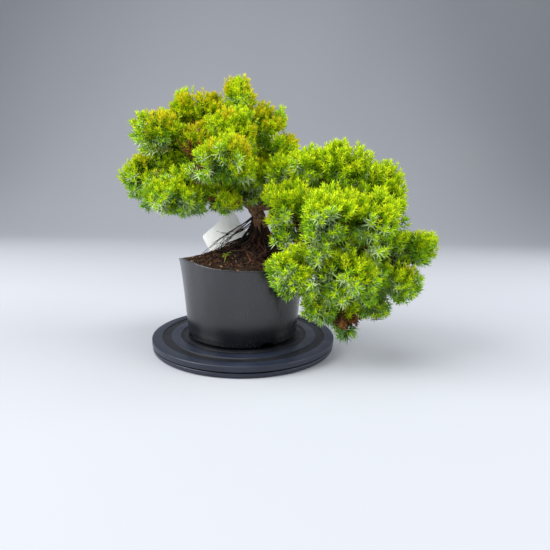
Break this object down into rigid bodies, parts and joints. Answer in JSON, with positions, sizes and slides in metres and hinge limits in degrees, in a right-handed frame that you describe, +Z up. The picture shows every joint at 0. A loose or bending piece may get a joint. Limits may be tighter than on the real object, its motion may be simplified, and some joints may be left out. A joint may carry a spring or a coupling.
{
  "type": "potted dwarf juniper",
  "caption": "Low spreading juniper with a rounded head and a hanging fan of needles, in a cut-down round pot on a two-disc turntable.",
  "frame": {"origin": "centre of the turntable's underside, on the surface that it stands on", "axes": "+Z up, -Y towards the front, +X to the right where the fan of foliage hangs"},
  "size_m": [0.3244, 0.2116, 0.2853],
  "materials": {
    "stand_plastic": "dark navy-charcoal moulded plastic with fine turned rings",
    "pot_plastic": "satin black nursery pot plastic, sawn rim, a little dust",
    "label_plastic": "blank off-white plastic label",
    "compost": "dark crumbly compost with fibrous roots",
    "bark": "flaking brown bark",
    "root_bark": "dark reddish-brown surface root",
    "needles": "short awl-shaped needles, lime at the tips and blue-green below"
  },
  "bodies": {
    "root": {"bough_back": "bark", "bough_fan": "bark", "bough_fan_low": "bark", "bough_fan_right": "bark", "bough_fan_tip": "bark", "bough_fan_top": "bark", "bough_left": "bark", "bough_low_left": "bark", "bough_right": "bark", "bough_top": "bark", "bough_top_left": "bark", "bough_upper_left": "bark", "foliage_back_left": "needles", "foliage_back_low": "needles", "foliage_back_mid": "needles", "foliage_back_right": "needles", "foliage_centre_front": "needles", "foliage_core": "needles", "foliage_fan_back_low": "needles", "foliage_fan_back_mid": "needles", "foliage_fan_back_top": "needles", "foliage_fan_bottom": "needles", "foliage_fan_bottom_left": "needles", "foliage_fan_bottom_right": "needles", "foliage_fan_centre": "needles", "foliage_fan_core": "needles", "foliage_fan_left": "needles", "foliage_fan_low_centre": "needles", "foliage_fan_low_left": "needles", "foliage_fan_low_right": "needles", "foliage_fan_right_front": "needles", "foliage_fan_sprig": "needles", "foliage_fan_tip": "needles", "foliage_fan_top": "needles", "foliage_fan_top_left": "needles", "foliage_fan_top_right": "needles", "foliage_left_top": "needles", "foliage_low_centre": "needles", "foliage_low_front": "needles", "foliage_low_left": "needles", "foliage_lower_right": "needles", "foliage_mid_left": "needles", "foliage_mid_top": "needles", "foliage_right": "needles", "foliage_saddle": "needles", "foliage_top": "needles", "foliage_top_mid": "needles", "foliage_top_right": "needles", "foliage_upper_left": "needles", "label": "label_plastic", "pot": "pot_plastic", "root_1": "root_bark", "root_2": "root_bark", "root_3": "root_bark", "root_4": "root_bark", "root_5": "root_bark", "soil": "compost", "stand_base": "stand_plastic", "stand_top": "stand_plastic", "trunk": "bark"}
  },
  "joints": []
}
